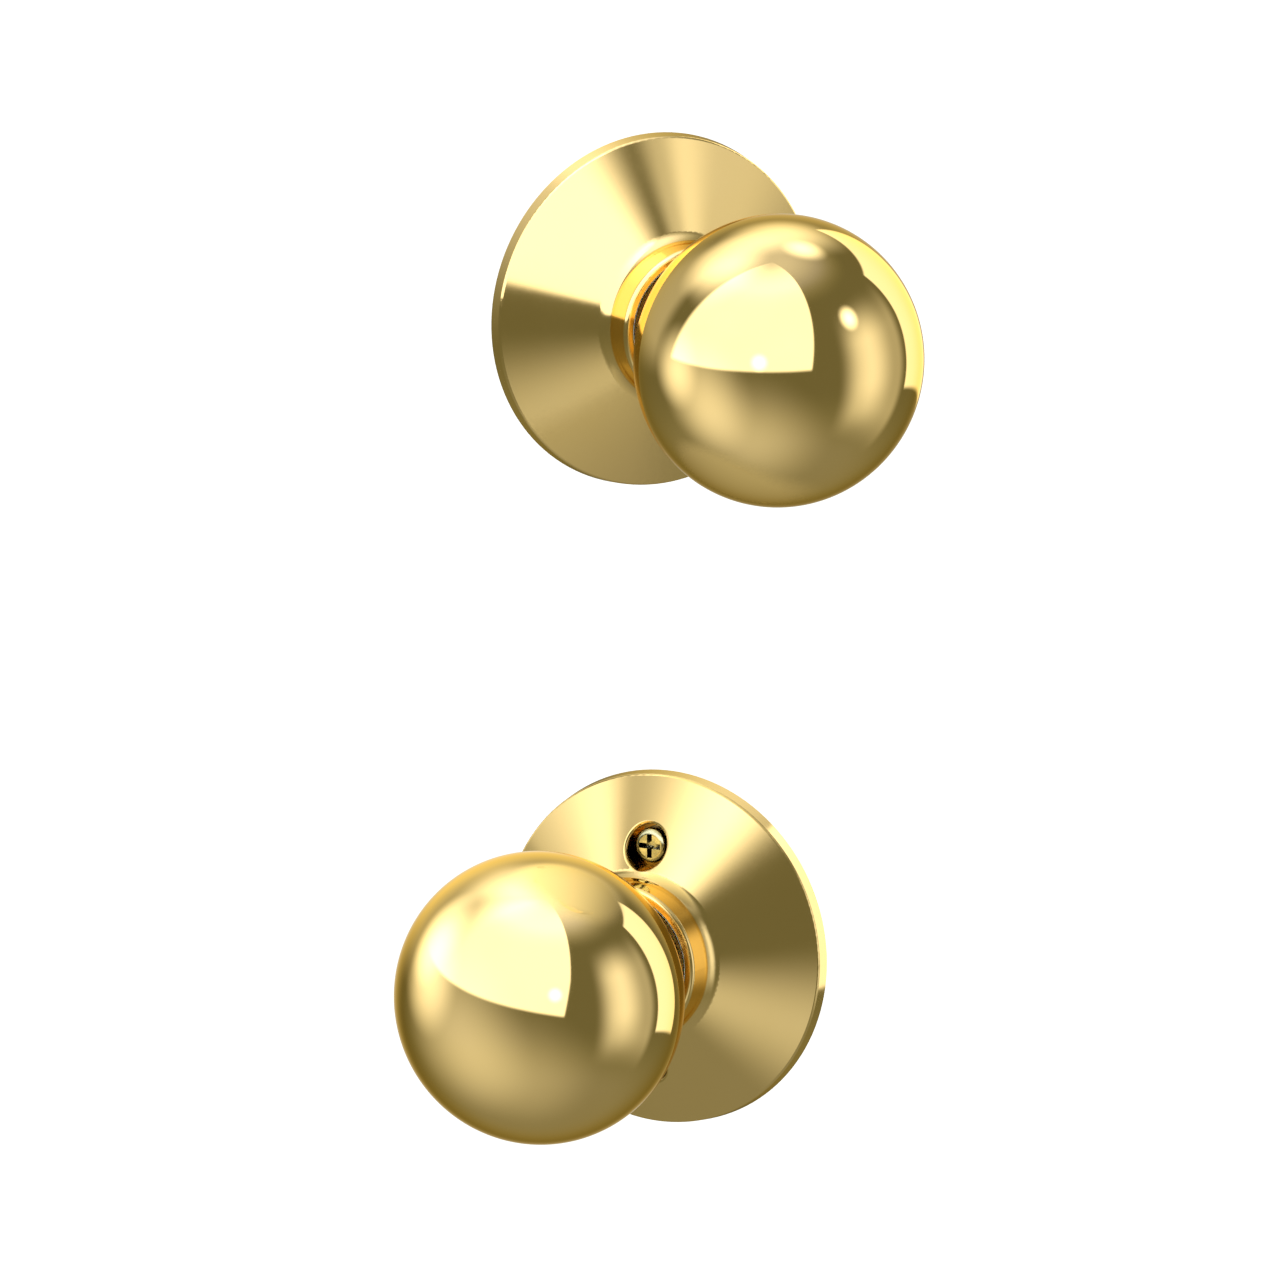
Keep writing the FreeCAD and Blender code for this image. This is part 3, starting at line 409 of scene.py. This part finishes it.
def about_axis(graph, half, height):
    """From a point on a half's axis to the surface: the whole way, its part along the axis, its rest."""
    origin, axis = HALVES[half]
    way = graph.vector("SUBTRACT", object_place(graph), origin + axis * height)
    along = graph.vector("DOT_PRODUCT", way, axis)
    return way, along, graph.vector("SUBTRACT", way, graph.scaled(axis, along))


def ball_normal(graph, half):
    """The ball's true normal, away from a crown's middle or the side arc's; always used at its pole."""
    axis = HALVES[half][1]
    way, along, out = about_axis(graph, half, BALL_MIDDLE)
    ring = graph.scaled(graph.vector("NORMALIZE", out), SIDE_RING)
    side = graph.vector("SUBTRACT", way, ring)
    drop = graph.math("MULTIPLY", graph.math("SIGN", along), CROWN_DROP)
    crown = graph.vector("ADD", way, graph.scaled(axis, drop))
    reach = graph.math("SUBTRACT", graph.vector("LENGTH", out), SIDE_RING)
    limit = graph.math("MULTIPLY", reach, CROWN_DROP / SIDE_RING)
    on_crown = graph.math("GREATER_THAN", graph.math("ABSOLUTE", along), limit)
    choice = graph.add("ShaderNodeMix", {0: on_crown, 4: side, 5: crown}, data_type="VECTOR")
    return choice.outputs[1], graph.ramp(graph.vector("LENGTH", out), 0.004, 0.003)


def cone_normal(graph, half):
    """The true normal of a rose's cone."""
    out = about_axis(graph, half, 0.0)[2]
    slope = graph.scaled(graph.vector("NORMALIZE", out), CONE_RISE)
    return graph.vector("ADD", slope, HALVES[half][1]), 0.0


def use_normal(graph, shader, exact, always):
    """Shades with the exact normal wherever the mesh's own facets follow it, or where told to."""
    world = graph.add(
        "ShaderNodeVectorTransform", {0: exact},
        vector_type="NORMAL", convert_from="OBJECT", convert_to="WORLD").outputs[0]
    world = graph.vector("NORMALIZE", world)
    own = graph.add("ShaderNodeNewGeometry").outputs["Normal"]
    low, high = (math.cos(math.radians(angle)) for angle in (FAR_OFF, NEAR_BY))
    share = graph.ramp(graph.vector("DOT_PRODUCT", own, world), low, high)
    share = graph.math("MAXIMUM", share, always)
    normal = graph.add("ShaderNodeMix", {0: share, 4: own, 5: world}, data_type="VECTOR")
    graph.tree.links.new(normal.outputs[1], shader.inputs["Normal"])


BRASS_DEEP = (0.94, 0.70, 0.305, 1)
BRASS_PALE = (0.955, 0.715, 0.325, 1)
# Painted reflection: a deeper gold mixed in towards each ball's outline, by how far the surface turns from
# the eye
BRASS_PAINTED_REFLECTION = (0.92, 0.62, 0.20, 1)
# Painted shade: the dark brown that is painted into the brass's recesses
BRASS_PAINTED_SHADE = (0.34, 0.22, 0.08, 1)
BALL_PAINTED_REFLECTION_TURNS = {"inside": 0.48, "outside": 0.58}  # the turn away from the eye at which each ball's painted reflection, a deeper gold, begins
PAINTED_REFLECTION_WIDTH = 0.32


def polished_brass(name, smooth, haze, exact=None, half=None, edge=None):
    """Lacquered brass, mirror bright with faint buffing haze.

    A ball is given the turn away from the eye at which a painted reflection, a deeper gold, begins towards
    its outline;
    any other piece has painted shade, darker in its recesses.
    """
    material, graph, shader = new_material(name)
    place = object_place(graph)
    cloud = noise(graph, place, 38.0)
    rub = noise(graph, place, 900.0, 2.0)
    tint = graph.mix(graph.ramp(cloud, 0.35, 0.65), BRASS_DEEP, BRASS_PALE)
    if exact:
        use_normal(graph, shader, *exact(graph, half))
    if edge:
        # Painted reflection: the deeper gold is mixed in by how far the surface turns from the eye,
        # starting at the turn that edge gives
        facing = graph.add("ShaderNodeLayerWeight", {"Blend": 0.5}).outputs["Facing"]
        tint = graph.mix(graph.ramp(facing, edge, edge + PAINTED_REFLECTION_WIDTH), tint, BRASS_PAINTED_REFLECTION)
    else:
        # Painted shade: recesses are darkened towards dark brown by ambient occlusion
        tint = graph.mix(painted_recess_shade(graph, 0.006, 0.35, 0.8), BRASS_PAINTED_SHADE, tint)
    graph.tree.links.new(tint, shader.inputs["Base Color"])
    shader.inputs["Metallic"].default_value = 1.0
    shader.inputs["Specular Tint"].default_value = (0.95, 0.78, 0.42, 1)
    rough = graph.ramp(cloud, 0.3, 0.7, smooth, smooth + haze)
    rough = graph.math("ADD", rough, graph.ramp(rub, 0.5, 0.8, 0.0, haze))
    graph.tree.links.new(rough, shader.inputs["Roughness"])
    return material


def metal(name, dark, light, smooth, rough, scale, grain, depth, painted_shade_reach=None):
    """A plain metal: mottled colour and gloss, a fine grain if it has depth, and painted shade, near black,
    in any recess within the given reach.
    """
    material, graph, shader = new_material(name)
    place = object_place(graph)
    cloud = noise(graph, place, scale)
    fine = noise(graph, place, grain, 2.0)
    tint = graph.mix(graph.ramp(cloud, 0.35, 0.65), (*dark, 1), (*light, 1))
    if painted_shade_reach:
        # Painted shade: near black is mixed in wherever a recess lies within the reach
        tint = graph.mix(painted_recess_shade(graph, painted_shade_reach, 0.35, 0.75), (0.012, 0.010, 0.005, 1), tint)
    graph.tree.links.new(tint, shader.inputs["Base Color"])
    shader.inputs["Metallic"].default_value = 1.0
    gloss = graph.ramp(cloud, 0.3, 0.7, rough, smooth)
    gloss = graph.math("ADD", gloss, graph.ramp(fine, 0.4, 0.7, 0.0, 0.06))
    graph.tree.links.new(gloss, shader.inputs["Roughness"])
    if depth:
        bump(graph, shader, fine, depth)
    return material


def cut_thread(material, pitch, depth):
    """Right-handed threads on the two screws, from the rose's back to their tips."""
    graph, shader = Graph(material.node_tree), material.node_tree.nodes["Principled BSDF"]
    x, y, z = graph.add("ShaderNodeSeparateXYZ", {0: object_place(graph)}).outputs
    rise = graph.math("SUBTRACT", z, graph.math("MULTIPLY", graph.math("SIGN", z), SCREW_OFFSET))
    turn = graph.math("DIVIDE", graph.math("ARCTAN2", x, rise), 2 * math.pi)
    phase = graph.math("SUBTRACT", graph.math("DIVIDE", y, pitch), turn)
    crest = graph.math("MULTIPLY", graph.math("PINGPONG", phase, 0.5), 2.0)
    crest = graph.math("MULTIPLY", crest, graph.ramp(y, 0.0, 0.0003))
    bump(graph, shader, crest, depth)


def nylon():
    material, graph, shader = new_material("moulded_nylon")
    place = object_place(graph)
    cloud = noise(graph, place, 120.0)
    tint = graph.mix(cloud, (0.78, 0.77, 0.72, 1), (0.85, 0.84, 0.80, 1))
    graph.tree.links.new(tint, shader.inputs["Base Color"])
    graph.tree.links.new(graph.ramp(cloud, 0.3, 0.7, 0.42, 0.55), shader.inputs["Roughness"])
    shader.inputs["Subsurface Weight"].default_value = 0.15
    shader.inputs["Subsurface Scale"].default_value = 0.001
    bump(graph, shader, noise(graph, place, 1500.0), 0.00002)
    return material


def dress(material, *nodes):
    for name in nodes:
        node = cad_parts[name]
        node.data.materials.clear()
        node.data.materials.append(material)


def both(*names):
    return [prefix + name for prefix in ("inside_", "outside_") for name in names]


make_camera()
make_world()
make_light()
make_cards()
make_floor()

# Each ball is given the turn at which its painted reflection, a deeper gold, begins
for half, edge in BALL_PAINTED_REFLECTION_TURNS.items():
    ball = polished_brass("brass_%s_ball" % half, 0.03, 0.012, ball_normal, half, edge)
    dress(ball, half + "_knob_shell")
    dress(polished_brass("brass_%s_rose" % half, 0.085, 0.02, cone_normal, half), half + "_rose")
dress(polished_brass("brass_neck", 0.03, 0.012), *both("knob_neck"))
# The screws' last number is the reach of the painted shade in their cross recesses
SCREW_METAL = metal(
    "screw_metal", (0.50, 0.49, 0.31), (0.62, 0.60, 0.40), 0.14, 0.24, 300.0, 2500.0, 0.0, 0.0018)
cut_thread(SCREW_METAL, 0.0007, 0.0004)
dress(SCREW_METAL, "mounting_screws")
ZINC = metal("zinc_plated_steel", (0.60, 0.61, 0.60), (0.72, 0.73, 0.71), 0.18, 0.34, 60.0, 1400.0, 0.00001)
dress(ZINC, *both("mounting_plate", "spring_cage", "shank", "driver", "cage_rivets", "core_pin"))
dress(ZINC, "mounting_posts", "spindle", "spindle_pin")
SPRING = metal("spring_steel", (0.30, 0.29, 0.28), (0.42, 0.41, 0.39), 0.22, 0.34, 90.0, 1600.0, 0.00001)
dress(SPRING, *both("return_spring", "wave_washer", "retaining_ring"))
CAST = metal("cast_zinc", (0.36, 0.37, 0.38), (0.46, 0.47, 0.48), 0.42, 0.58, 110.0, 900.0, 0.00005)
dress(CAST, *both("knob_core"))
dress(nylon(), *both("collar_bushing", "thrust_washer"))

bpy.context.scene.view_settings.view_transform = "Standard"
